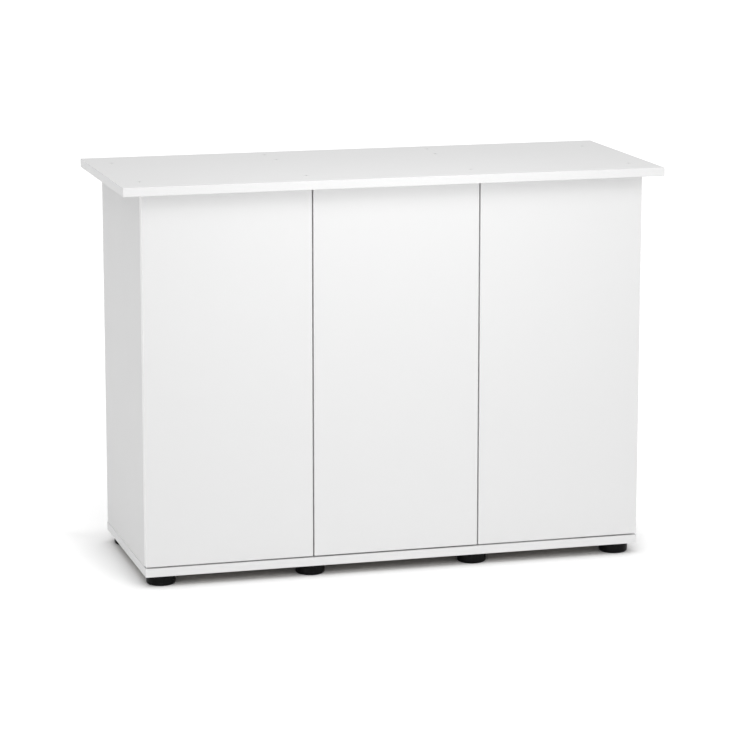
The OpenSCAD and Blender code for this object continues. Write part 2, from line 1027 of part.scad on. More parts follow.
module latch_housing_right() {
    latch_housing(right_latch);
}

module latch_screws() {
    color(steel)
        for (latch = [left_latch, middle_latch, right_latch])
            at_latch_screws(latch)
                union() {
                    translate([0, 0, -latch_screw_bite])
                        cylinder(h = latch_screw_bite + latch_flange_t + 0.5, r = latch_screw_r);
                    translate([0, 0, latch_flange_t])
                        cylinder(h = 1.6, r1 = 3, r2 = 2.2);
                }
}

// The sliding plunger of a latch, with a buffer tip that rests near the door's strike
module latch_plunger(latch) {
    tip_l = 3;
    color(black)
        at_latch(latch)
            translate([0, plunger_tip, 0])
                rotate([-90, 0, 0])
                    union() {
                        cylinder(h = tip_l, r = plunger_r - 0.8);
                        translate([0, 0, tip_l - eps])
                            cylinder(h = plunger_l - tip_l, r = plunger_r);
                    }
}

module latch_plunger_left() {
    latch_plunger(left_latch);
}

module latch_plunger_middle() {
    latch_plunger(middle_latch);
}

module latch_plunger_right() {
    latch_plunger(right_latch);
}

// The round strike plate on a door's inner face, opposite the plunger
module strike(latch) {
    color(steel)
        at_latch(latch)
            translate([0, -door_clear, 0])
                rotate([-90, 0, 0])
                    cylinder(h = strike_t, r = strike_r);
}

module strike_left() {
    strike(left_latch);
}

module strike_middle() {
    strike(middle_latch);
}

module strike_right() {
    strike(right_latch);
}

top_plate();
base_plate();
side_panel_left();
side_panel_right();
divider_left();
divider_right();
back_panel();
door_left();
door_middle();
door_right();
shelf_left();
shelf_middle();
shelf_pins();
foot_front_1();
foot_front_2();
foot_front_3();
foot_front_4();
foot_rear_1();
foot_rear_2();
foot_rear_3();
foot_rear_4();
foot_screws();
top_screws();
base_screws();
back_screws();
dowels();
cups_left();
cups_middle();
cups_right();
cup_pins_left();
cup_pins_middle();
cup_pins_right();
cup_screws_left();
cup_screws_middle();
cup_screws_right();
inner_links_left();
inner_links_middle();
inner_links_right();
outer_links_left();
outer_links_middle();
outer_links_right();
arms_left();
arms_middle();
arms_right();
arm_pins();
hinge_plates_left();
hinge_plates_middle();
hinge_plates_right();
plate_screws();
latch_housing_left();
latch_housing_middle();
latch_housing_right();
latch_screws();
latch_plunger_left();
latch_plunger_middle();
latch_plunger_right();
strike_left();
strike_middle();
strike_right();
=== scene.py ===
"""A white boarded cabinet stand for a fish tank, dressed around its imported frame.

All lengths are in metres, in the frame's own axes: X to the right, Y to the rear, Z up. Boards,
edge bands, feet and hinge trim are modelled here as pieces that stand for the frame's plain
solids; the screws, pins and hinge parts of the frame stay and only get their finishes.
"""

import logging
import math
from collections.abc import Callable, Iterable
from dataclasses import dataclass
from enum import Enum

import bmesh
import bpy
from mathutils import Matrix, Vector


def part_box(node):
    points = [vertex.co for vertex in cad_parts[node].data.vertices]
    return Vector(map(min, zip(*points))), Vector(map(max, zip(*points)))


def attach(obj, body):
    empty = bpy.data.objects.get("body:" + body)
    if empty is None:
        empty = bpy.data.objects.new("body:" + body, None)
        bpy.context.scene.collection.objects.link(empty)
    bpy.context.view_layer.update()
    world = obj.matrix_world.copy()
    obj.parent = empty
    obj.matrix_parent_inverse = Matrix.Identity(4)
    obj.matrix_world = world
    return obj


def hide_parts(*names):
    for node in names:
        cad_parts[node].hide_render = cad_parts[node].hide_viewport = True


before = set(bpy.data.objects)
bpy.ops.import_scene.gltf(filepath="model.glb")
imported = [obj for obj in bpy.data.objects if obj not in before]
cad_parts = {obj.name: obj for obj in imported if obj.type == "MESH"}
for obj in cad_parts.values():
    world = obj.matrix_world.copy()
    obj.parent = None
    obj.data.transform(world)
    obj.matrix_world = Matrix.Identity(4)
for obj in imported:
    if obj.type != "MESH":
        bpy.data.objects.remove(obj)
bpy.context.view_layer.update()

LOG = logging.getLogger("cabinet")
MM = 0.001
NEAR = 0.01 * MM  # places closer than this are one place


class Axis(Enum):
    """A row axis, as the index of its coordinate."""

    X = 0
    Y = 1
    Z = 2


class Door(Enum):
    """The three doors, by the ending of their nodes' names."""

    LEFT = "left"
    MIDDLE = "middle"
    RIGHT = "right"

    @property
    def body(self) -> str:
        """The body that the door leaf rides on, which is also the leaf's node."""
        return f"door_{self.value}"


# ---------------------------------------------------------------------------------------------
# Shader tools
# ---------------------------------------------------------------------------------------------


class Signal:
    """A number that varies over a surface, on which Python's operators add Math nodes."""

    def __init__(self, bench: "Bench", socket: bpy.types.NodeSocket) -> None:
        """Wraps one output socket of a material that is being built."""
        self.bench = bench
        self.socket = socket

    def _join(self, operation: str, left: "Signal | float", right: "Signal | float") -> "Signal":
        """Adds one Math node.

        Args:
            operation: The Math node's operation.
            left: Its first value.
            right: Its second value.

        Returns:
            The node's result.
        """
        return self.bench.math(operation, left, right)

    def __add__(self, other: "Signal | float") -> "Signal":
        """Self plus other."""
        return self._join("ADD", self, other)

    def __radd__(self, other: float) -> "Signal":
        """Other plus self."""
        return self._join("ADD", other, self)

    def __sub__(self, other: "Signal | float") -> "Signal":
        """Self minus other."""
        return self._join("SUBTRACT", self, other)

    def __rsub__(self, other: float) -> "Signal":
        """Other minus self."""
        return self._join("SUBTRACT", other, self)

    def __mul__(self, other: "Signal | float") -> "Signal":
        """Self times other."""
        return self._join("MULTIPLY", self, other)

    def __rmul__(self, other: float) -> "Signal":
        """Other times self."""
        return self._join("MULTIPLY", other, self)

    def __lt__(self, other: "Signal | float") -> "Signal":
        """One where self is below other, else nought."""
        return self._join("LESS_THAN", self, other)

    def __gt__(self, other: "Signal | float") -> "Signal":
        """One where self is above other, else nought."""
        return self._join("GREATER_THAN", self, other)


Colour = tuple[float, float, float, float]
Feed = Signal | bpy.types.NodeSocket | float | tuple


def grey(level: float, warmth: float = 0.0) -> Colour:
    """A neutral colour.

    Args:
        level: Its brightness, in linear light.
        warmth: How much more red than blue it holds.

    Returns:
        The colour with full alpha.
    """
    return (level + warmth / 2, level, level - warmth / 2, 1.0)


class Bench:
    """Builds one material's nodes around a Principled shader."""

    def __init__(self, name: str) -> None:
        """Starts an empty material.

        Args:
            name: The material's name.
        """
        self.material = bpy.data.materials.new(name)
        self.material.use_nodes = True
        self.tree = self.material.node_tree
        self.tree.nodes.clear()
        self.shader = self.node("ShaderNodeBsdfPrincipled")
        self.place = self.node("ShaderNodeTexCoord").outputs["Object"]
        self.node("ShaderNodeOutputMaterial", sockets={"Surface": self.shader.outputs[0]})

    def node(
        self, kind: str, settings: dict[str, object] | None = None, sockets: dict[str, Feed] | None = None
    ) -> bpy.types.Node:
        """Adds a node.

        Args:
            kind: The node's type.
            settings: Its properties, which are set first.
            sockets: Values or links of its inputs, by name or identifier.

        Returns:
            The node.
        """
        node = self.tree.nodes.new(kind)
        for key, value in (settings or {}).items():
            setattr(node, key, value)
        self.feed(node, sockets or {})
        return node

    def feed(self, node: bpy.types.Node, sockets: dict[str, Feed]) -> None:
        """Sets or links a node's inputs.

        Args:
            node: The node.
            sockets: Values or links, by input name or identifier.
        """
        for key, value in sockets.items():
            named = [s for s in node.inputs if s.identifier == key]
            target = (named or [s for s in node.inputs if s.name == key])[0]
            source = value.socket if isinstance(value, Signal) else value
            if isinstance(source, bpy.types.NodeSocket):
                self.tree.links.new(source, target)
            else:
                target.default_value = source

    def math(self, operation: str, left: Signal | float, right: Signal | float = 0.0) -> Signal:
        """Adds one Math node.

        Args:
            operation: The Math node's operation.
            left: Its first value.
            right: Its second value, where the operation takes two.

        Returns:
            The node's result.
        """
        sockets = {"Value": left, "Value_001": right}
        return Signal(self, self.node("ShaderNodeMath", {"operation": operation}, sockets).outputs[0])

    def dress(self, **sockets: Feed) -> None:
        """Sets or links the shader's inputs; an underscore stands for a space."""
        self.feed(self.shader, {key.replace("_", " "): value for key, value in sockets.items()})

    def stretched(self, scale: tuple[float, float, float]) -> bpy.types.NodeSocket:
        """Object coordinates multiplied by a scale on each axis."""
        return self.node("ShaderNodeMapping", sockets={"Vector": self.place, "Scale": scale}).outputs[0]

    def noise(
        self, scale: float, detail: float = 2.0, place: bpy.types.NodeSocket | None = None
    ) -> Signal:
        """Smooth noise around one half.

        Args:
            scale: Features per metre.
            detail: How many finer layers it holds.
            place: The coordinates it reads, or None for plain object coordinates.

        Returns:
            The noise.
        """
        node = self.node(
            "ShaderNodeTexNoise", sockets={"Vector": place or self.place, "Scale": scale, "Detail": detail}
        )
        return Signal(self, node.outputs[0])

    def blend(self, factor: Signal | float, low: Feed, high: Feed) -> bpy.types.NodeSocket:
        """Mixes two colours.

        Args:
            factor: Nought for the first colour, one for the second.
            low: The first colour.
            high: The second colour.

        Returns:
            The mixed colour.
        """
        node = self.node(
            "ShaderNodeMix",
            {"data_type": "RGBA"},
            {"Factor_Float": factor, "A_Color": low, "B_Color": high},
        )
        return [s for s in node.outputs if s.identifier == "Result_Color"][0]

    def coordinate(self, axis: Axis) -> Signal:
        """One of the object coordinates."""
        parts = self.node("ShaderNodeSeparateXYZ", sockets={"Vector": self.place})
        return Signal(self, parts.outputs[axis.value])

    def relief(self, height: Signal, depth: float, strength: float = 1.0) -> bpy.types.NodeSocket:
        """Turns a height into a normal.

        Args:
            height: The height, from nought to one.
            depth: What a height of one stands for, in metres.
            strength: How strongly it tells.

        Returns:
            The bumped normal.
        """
        sockets = {"Height": height, "Distance": depth, "Strength": strength}
        return self.node("ShaderNodeBump", sockets=sockets).outputs[0]


# ---------------------------------------------------------------------------------------------
# Finishes
# ---------------------------------------------------------------------------------------------


@dataclass(frozen=True)
class Melamine:
    """The printed and pressed paper face of a white board, with its fine pearl texture."""

    name: str = "white_melamine_face"
    tone: float = 0.703
    drift: float = 0.008
    pearl_scale: float = 620.0
    pearl_depth: float = 0.05 * MM
    roughness: float = 0.42
    gloss: float = 0.35

    def material(self) -> bpy.types.Material:
        """Mixes the finish.

        Returns:
            The material.
        """
        bench = Bench(self.name)
        cloud = bench.noise(2.5, 3.0)
        speck = bench.noise(1400.0, 1.0)
        pearl = bench.noise(self.pearl_scale, 2.0)
        touch = bench.noise(14.0, 4.0)
        shade = cloud * 0.75 + speck * 0.25
        bench.dress(
            Base_Color=bench.blend(shade, grey(self.tone - self.drift), grey(self.tone + self.drift)),
            Roughness=(touch - 0.5) * 0.10 + self.roughness,
            Normal=bench.relief(pearl, self.pearl_depth, 0.5),
            Specular_IOR_Level=self.gloss,
        )
        return bench.material


@dataclass(frozen=True)
class EdgeBand:
    """The plastic band on a board's narrow faces: smoother than the face, drawn lengthwise."""

    name: str = "white_edge_band"
    tone: float = 0.713
    roughness: float = 0.33

    def material(self) -> bpy.types.Material:
        """Mixes the finish.

        Returns:
            The material.
        """
        bench = Bench(self.name)
        cloud = bench.noise(6.0, 2.0)
        drawn = bench.noise(500.0, 2.0)
        bench.dress(
            Base_Color=bench.blend(cloud, grey(self.tone - 0.01), grey(self.tone + 0.01)),
            Roughness=(drawn - 0.5) * 0.08 + self.roughness,
            Normal=bench.relief(drawn, 0.02 * MM, 0.4),
            Specular_IOR_Level=0.4,
        )
        return bench.material


@dataclass(frozen=True)
class Chipboard:
    """The bare core of a board, seen inside its drilled holes."""

    name: str = "chipboard_core"
    dark: Colour = (0.30, 0.19, 0.10, 1.0)
    light: Colour = (0.62, 0.45, 0.27, 1.0)

    def material(self) -> bpy.types.Material:
        """Mixes the finish.

        Returns:
            The material.
        """
        bench = Bench(self.name)
        flakes = bench.noise(450.0, 5.0)
        bench.dress(
            Base_Color=bench.blend(flakes, self.dark, self.light),
            Roughness=flakes * 0.2 + 0.75,
            Normal=bench.relief(flakes, 0.4 * MM),
        )
        return bench.material


@dataclass(frozen=True)
class BackingPaper:
    """The plain grey-brown backing on the underside of the base."""

    name: str = "grey_backing_paper"
    dark: Colour = (0.16, 0.14, 0.12, 1.0)
    light: Colour = (0.24, 0.22, 0.19, 1.0)

    def material(self) -> bpy.types.Material:
        """Mixes the finish.

        Returns:
            The material.
        """
        bench = Bench(self.name)
        fibres = bench.noise(1.0, 4.0, bench.stretched((60.0, 400.0, 400.0)))
        bench.dress(
            Base_Color=bench.blend(fibres, self.dark, self.light),
            Roughness=fibres * 0.15 + 0.6,
            Normal=bench.relief(fibres, 0.05 * MM, 0.5),
        )
        return bench.material


@dataclass(frozen=True)
class MouldedPlastic:
    """Moulded plastic with a fine eroded grain and slightly uneven gloss."""

    name: str
    tone: float
    warmth: float = 0.0
    roughness: float = 0.3
    grain_scale: float = 1500.0
    grain_depth: float = 0.02 * MM
    gloss: float = 0.5

    def material(self) -> bpy.types.Material:
        """Mixes the finish.

        Returns:
            The material.
        """
        bench = Bench(self.name)
        grain = bench.noise(self.grain_scale, 2.0)
        sheen = bench.noise(45.0, 3.0)
        low = grey(self.tone * 0.9, self.warmth)
        high = grey(self.tone * 1.1, self.warmth)
        bench.dress(
            Base_Color=bench.blend(sheen, low, high),
            Roughness=(sheen - 0.5) * 0.16 + self.roughness,
            Normal=bench.relief(grain, self.grain_depth, 0.6),
            Specular_IOR_Level=self.gloss,
        )
        return bench.material


@dataclass(frozen=True)
class PlatedSteel:
    """Plated steel with faint drawing lines along one axis and a little bloom."""

    name: str
    tone: float
    warmth: float = 0.0
    roughness: float = 0.28
    line_scale: tuple[float, float, float] = (900.0, 900.0, 40.0)

    def material(self) -> bpy.types.Material:
        """Mixes the finish.

        Returns:
            The material.
        """
        bench = Bench(self.name)
        lines = bench.noise(1.0, 3.0, bench.stretched(self.line_scale))
        bloom = bench.noise(60.0, 3.0)
        low = grey(self.tone * 0.86, self.warmth)
        high = grey(self.tone * 1.08, self.warmth)
        bench.dress(
            Base_Color=bench.blend(bloom * 0.6 + lines * 0.4, low, high),
            Metallic=1.0,
            Roughness=(bloom - 0.5) * 0.18 + (lines - 0.5) * 0.10 + self.roughness,
            Normal=bench.relief(lines, 0.03 * MM, 0.4),
        )
        return bench.material


@dataclass(frozen=True)
class CoatedScrew:
    """White-coated screws whose sockets, below a level of the frame, are painted near-black: painted shade
    in the recess.
    """

    name: str
    face_level: float
    socket_shade_depth: float = 0.5 * MM

    def material(self) -> bpy.types.Material:
        """Mixes the finish.

        Returns:
            The material.
        """
        bench = Bench(self.name)
        speckle = bench.noise(900.0, 2.0)
        # painted shade: below the head's face by this depth, inside the socket, the colour is near-black
        bare = bench.coordinate(Axis.Z) < (self.face_level - self.socket_shade_depth)
        coat = bench.blend(speckle, grey(0.60), grey(0.66))
        # core is the near-black colour of the painted shade in the sockets
        core = bench.blend(speckle, grey(0.01), grey(0.03))
        bench.dress(
            Base_Color=bench.blend(bare, coat, core),
            Roughness=bare * 0.2 + speckle * 0.08 + 0.34,
            Normal=bench.relief(speckle, 0.02 * MM, 0.5),
        )
        return bench.material


@dataclass(frozen=True)
class Beech:
    """Plain turned beech."""

    name: str = "beech"
    dark: Colour = (0.50, 0.32, 0.17, 1.0)
    light: Colour = (0.72, 0.52, 0.32, 1.0)

    def material(self) -> bpy.types.Material:
        """Mixes the finish.

        Returns:
            The material.
        """
        bench = Bench(self.name)
        grain = bench.noise(1.0, 4.0, bench.stretched((700.0, 700.0, 60.0)))
        bench.dress(
            Base_Color=bench.blend(grain, self.dark, self.light),
            Roughness=grain * 0.15 + 0.5,
            Normal=bench.relief(grain, 0.1 * MM),
        )
        return bench.material


@dataclass(frozen=True)
class StudioPaper:
    """The pale floor with painted light: to the camera it glows beyond the base plate and an apron before
    it, which paints out the soft shade around the cabinet so the floor stays white.
    """

    name: str = "studio_paper_with_painted_light"
    tone: float = 0.985
    painted_light_near: float = 0.012
    painted_light_around: float = 0.18
    apron: float = 0.3
    fade: float = 0.12

    def painted_light_mask(self, bench: Bench) -> Signal:
        """Where the painted light shows: how far a point lies outside the base plate and the apron before
        it.

        Args:
            bench: The material that is being made.

        Returns:
            Nought on the plate's outline and the apron, rising to one at the end of the fade.
        """
        low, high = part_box("base_plate")
        corners = ((low.x, high.x), (low.y - self.apron, high.y))
        past_side, past_end = (
            bench.math("ABSOLUTE", bench.coordinate(axis) - (start + end) / 2) - (end - start) / 2
            for axis, (start, end) in zip((Axis.X, Axis.Y), corners)
        )
        rise = bench.node(
            "ShaderNodeMapRange",
            {"interpolation_type": "SMOOTHSTEP"},
            {"Value": bench.math("MAXIMUM", past_side, past_end), "From Max": self.fade},
        )
        return Signal(bench, rise.outputs[0])

    def material(self) -> bpy.types.Material:
        """Mixes the finish, whose painted light is seen but lights nothing.

        Returns:
            The material.
        """
        bench = Bench(self.name)
        tooth = bench.noise(40.0, 2.0)
        seen = Signal(bench, bench.node("ShaderNodeLightPath").outputs["Is Camera Ray"])
        # painted light: emission seen only by the camera, off on the base plate's outline and the apron
        # before it, on all around
        painted_light = self.painted_light_mask(bench) * seen
        bench.dress(
            Base_Color=bench.blend(tooth, grey(self.tone - 0.005), grey(self.tone)),
            Roughness=0.95,
            Specular_IOR_Level=0.0,
            Emission_Color=bench.blend(painted_light, grey(self.painted_light_near), grey(self.painted_light_around)),
            Emission_Strength=1.0,
        )
        return bench.material


# ---------------------------------------------------------------------------------------------
# Modelling tools
# ---------------------------------------------------------------------------------------------


class Shop:
    """The hand operations that every piece is shaped with."""

    @staticmethod
    def clear() -> None:
        """Leaves edit mode and deselects everything."""
        if bpy.context.object is not None and bpy.context.object.mode != "OBJECT":
            bpy.ops.object.mode_set(mode="OBJECT")
        bpy.ops.object.select_all(action="DESELECT")

    @staticmethod
    def take(piece: bpy.types.Object) -> None:
        """Makes one object the only selected and active one.

        Args:
            piece: The object.
        """
        Shop.clear()
        piece.select_set(True)
        bpy.context.view_layer.objects.active = piece

    @staticmethod
    def settle(name: str) -> bpy.types.Object:
        """Names the active object and puts its place into its mesh.

        Args:
            name: The piece's name.

        Returns:
            The object, at the origin, unturned and unscaled.
        """
        piece = bpy.context.object
        piece.name = name
        piece.data.name = name
        bpy.ops.object.transform_apply(location=True, rotation=True, scale=True)
        return piece

    @staticmethod
    def block(name: str, low: Vector, high: Vector) -> bpy.types.Object:
        """Starts a box between two corners.

        Args:
            name: The piece's name.
            low: Its lowest corner.
            high: Its highest corner.

        Returns:
            The box.
        """
        Shop.clear()
        bpy.ops.mesh.primitive_cube_add(size=1.0, location=(low + high) / 2, scale=high - low)
        return Shop.settle(name)

    @staticmethod
    def cut(piece: bpy.types.Object, cutter: bpy.types.Object) -> None:
        """Takes a cutter's shape out of a piece and discards the cutter.

        Args:
            piece: The piece.
            cutter: The shape to take away.
        """
        Shop.take(piece)
        modifier = piece.modifiers.new("cut", "BOOLEAN")
        modifier.operation = "DIFFERENCE"
        modifier.solver = "EXACT"
        modifier.object = cutter
        bpy.ops.object.modifier_apply(modifier=modifier.name)
        bpy.data.objects.remove(cutter)

    @staticmethod
    def copy_of(node: str, name: str) -> bpy.types.Object:
        """Starts from a copy of a frame node's solids, with their loose triangles merged.

        Args:
            node: The frame's node.
            name: The piece's name.

        Returns:
            The copy, with its flat faces made whole.
        """
        piece = bpy.data.objects.new(name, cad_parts[node].data.copy())
        piece.data.name = name
        bpy.context.scene.collection.objects.link(piece)
        Shop.edit(piece)
        bpy.ops.mesh.select_all(action="SELECT")
        bpy.ops.mesh.remove_doubles(threshold=0.002 * MM)
        bpy.ops.mesh.dissolve_limited(angle_limit=math.radians(0.5))
        Shop.leave()
        return piece

    @staticmethod
    def rod(
        name: str, centre: Vector, radius: float, length: float, axis: Axis, sides: int = 48
    ) -> bpy.types.Object:
        """Starts a cylinder.

        Args:
            name: The piece's name.
            centre: Its middle.
            radius: Its radius.
            length: Its length.
            axis: The axis it lies along.
            sides: How many sides it has.

        Returns:
            The cylinder.
        """
        turn = {Axis.X: (0, math.pi / 2, 0), Axis.Y: (math.pi / 2, 0, 0), Axis.Z: (0, 0, 0)}[axis]
        Shop.clear()
        bpy.ops.mesh.primitive_cylinder_add(
            vertices=sides, radius=radius, depth=length, location=centre, rotation=turn
        )
        return Shop.settle(name)

    @staticmethod
    def edit(piece: bpy.types.Object) -> None:
        """Enters edit mode on one piece with nothing selected.

        Args:
            piece: The piece.
        """
        Shop.take(piece)
        bpy.ops.object.mode_set(mode="EDIT")
        bpy.ops.mesh.select_all(action="DESELECT")

    @staticmethod
    def pick_faces(piece: bpy.types.Object, test: Callable[[Vector, Vector], bool]) -> int:
        """Selects faces in edit mode.

        Args:
            piece: The piece in edit mode.
            test: Takes a face's middle and normal, and says whether to select it.

        Returns:
            How many faces were selected.
        """
        bpy.ops.mesh.select_mode(type="FACE")
        bpy.ops.mesh.select_all(action="DESELECT")
        shape = bmesh.from_edit_mesh(piece.data)
        chosen = [f for f in shape.faces if test(f.calc_center_median(), f.normal)]
        for face in chosen:
            face.select_set(True)
        bmesh.update_edit_mesh(piece.data)
        return len(chosen)

    @staticmethod
    def pick_edges(piece: bpy.types.Object, test: Callable[[Vector, Vector], bool]) -> int:
        """Selects edges in edit mode.

        Args:
            piece: The piece in edit mode.
            test: Takes an edge's two ends, and says whether to select it.

        Returns:
            How many edges were selected.
        """
        bpy.ops.mesh.select_mode(type="EDGE")
        bpy.ops.mesh.select_all(action="DESELECT")
        shape = bmesh.from_edit_mesh(piece.data)
        chosen = [e for e in shape.edges if test(e.verts[0].co, e.verts[1].co)]
        for edge in chosen:
            edge.select_set(True)
        bmesh.update_edit_mesh(piece.data)
        return len(chosen)

    @staticmethod
    def leave() -> None:
        """Goes back to object mode."""
        bpy.ops.object.mode_set(mode="OBJECT")

    @staticmethod
    def smooth(piece: bpy.types.Object, degrees: float = 34.0) -> None:
        """Shades gentle edges smooth, led by the large faces, so that flat faces stay flat.

        Args:
            piece: The piece.
            degrees: The widest turn between faces that is shaded smooth.
        """
        Shop.take(piece)
        bpy.ops.object.shade_smooth_by_angle(angle=math.radians(degrees))
        modifier = piece.modifiers.new("weights", "WEIGHTED_NORMAL")
        modifier.keep_sharp = True
        modifier.weight = 100
        bpy.ops.object.modifier_apply(modifier=modifier.name)

    @staticmethod
    def twin(piece: bpy.types.Object, name: str, shift: Vector) -> bpy.types.Object:
        """Copies a piece with its own mesh and moves the copy.

        Args:
            piece: The piece to copy.
            name: The copy's name.
            shift: How far the copy moves.

        Returns:
            The copy, at the origin.
        """
        Shop.take(piece)
        bpy.ops.object.duplicate(linked=False)
        bpy.context.object.location = shift
        return Shop.settle(name)

    @staticmethod
    def wear(piece: bpy.types.Object, *materials: bpy.types.Material) -> None:
        """Gives a piece its materials, in slot order."""
        piece.data.materials.clear()
        for material in materials:
            piece.data.materials.append(material)

    @staticmethod
    def mount(piece: bpy.types.Object, body: str, slot: str, nodes: Iterable[str] = ()) -> None:
        """Attaches a finished piece to the frame.

        Args:
            piece: The piece.
            body: The frame's body it moves with.
            slot: The record's material slot of its finish. Not used.
            nodes: The frame's nodes it stands for.
        """
        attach(piece, body)
        if nodes:
            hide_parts(*nodes)
        LOG.info("%s rides on %s, %d faces", piece.name, body, len(piece.data.polygons))


def solids_of(node: str) -> list[tuple[Vector, Vector]]:
    """The separate solids of a frame node.

    Args:
        node: The node's name.

    Returns:
        The lowest and highest corner of each solid, in order of place.
    """
    shape = bmesh.new()
    shape.from_mesh(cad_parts[node].data)
    bmesh.ops.remove_doubles(shape, verts=shape.verts, dist=0.002 * MM)
    waiting = set(shape.verts)
    boxes: list[tuple[Vector, Vector]] = []
    while waiting:
        front = [waiting.pop()]
        points: list[Vector] = []
        while front:
            vertex = front.pop()
            points.append(vertex.co.copy())
            for edge in vertex.link_edges:
                other = edge.other_vert(vertex)
                if other in waiting:
                    waiting.remove(other)
                    front.append(other)
        low = Vector([min(p[i] for p in points) for i in range(3)])
        high = Vector([max(p[i] for p in points) for i in range(3)])
        boxes.append((low, high))
    shape.free()
    return sorted(boxes, key=lambda pair: [round(c, 4) for c in pair[0]])


# ---------------------------------------------------------------------------------------------
# Boards
# ---------------------------------------------------------------------------------------------


@dataclass(frozen=True)
class BoardRun:
    """Which frame nodes are boards, which way each is thin, and the body each rides on."""

    carcass: tuple[tuple[str, Axis], ...] = (
        ("top_plate", Axis.Z),
        ("base_plate", Axis.Z),
        ("side_panel_left", Axis.X),
        ("side_panel_right", Axis.X),
        ("divider_left", Axis.X),
        ("divider_right", Axis.X),
        ("back_panel", Axis.Y),
        ("shelf_left", Axis.Z),
        ("shelf_middle", Axis.Z),
    )
    doors: tuple[Door, ...] = tuple(Door)
    door_arris: float = 0.35 * MM


class Coat(Enum):
    """A board's coats, as the order of its material slots."""

    FACE = 0
    BAND = 1
    CORE = 2
    BACKING = 3


@dataclass
class BandedBoard:
    """One melamine board with banded edges and softened arrises."""

    node: str
    thin: Axis
    body: str
    backed: bool = False
    arris: float = 0.7 * MM
    arris_steps: int = 3

    def build(self, finishes: "Finishes") -> bpy.types.Object:
        """Makes the board from its frame node's solid.

        Args:
            finishes: The cabinet's materials.

        Returns:
            The board.
        """
        low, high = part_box(self.node)
        piece = Shop.copy_of(self.node, f"{self.node}_board")
        Shop.edit(piece)
        Shop.pick_edges(piece, lambda one, two: self.on_outer_edge(one, two, low, high))
        bpy.ops.mesh.bevel(
            offset=self.arris, segments=self.arris_steps, profile=0.5, affect="EDGES", clamp_overlap=False
        )
        Shop.leave()
        self.dress(piece, low, high, finishes)
        Shop.smooth(piece)
        Shop.mount(piece, self.body, "white_board", [self.node])
        return piece

    @staticmethod
    def on_outer_edge(one: Vector, two: Vector, low: Vector, high: Vector) -> bool:
        """Whether an edge lies along one of the twelve outer edges of a box.

        Args:
            one: The edge's first end.
            two: Its second end.
            low: The box's lowest corner.
            high: The box's highest corner.

        Returns:
            True if both ends lie in the same two outer planes.
        """
        shared = sum(
            max(abs(one[i] - side[i]), abs(two[i] - side[i])) < NEAR
            for i in range(3)
            for side in (low, high)
        )
        return shared == 2

    def dress(self, piece: bpy.types.Object, low: Vector, high: Vector, finishes: "Finishes") -> None:
        """Puts melamine on the faces, band on the rim, bare core in the holes and any backing below.

        Args:
            piece: The board.
            low: Its lowest corner.
            high: Its highest corner.
            finishes: The cabinet's materials.
        """
        # the doors take a lighter copy of the edge band: painted light that lightens the shade in the gaps
        # between the doors
        band = finishes.band if self.body == "carcass" else finishes.door_band
        Shop.wear(piece, finishes.melamine, band, finishes.core, finishes.backing)
        skin = self.arris * 1.05
        leaning, square_on = 0.2, 0.999
        for polygon in piece.data.polygons:
            place, normal = polygon.center, polygon.normal
            outward = [
                (place[i] - low[i] < skin and normal[i] < -leaning)
                or (high[i] - place[i] < skin and normal[i] > leaning)
                for i in range(3)
            ]
            if not any(outward):
                coat = Coat.CORE
            elif outward[self.thin.value] and abs(normal[self.thin.value]) > square_on:
                coat = Coat.BACKING if self.backed and normal.z < 0 else Coat.FACE
            else:
                coat = Coat.BAND
            polygon.material_index = coat.value


# ---------------------------------------------------------------------------------------------
# Feet
# ---------------------------------------------------------------------------------------------


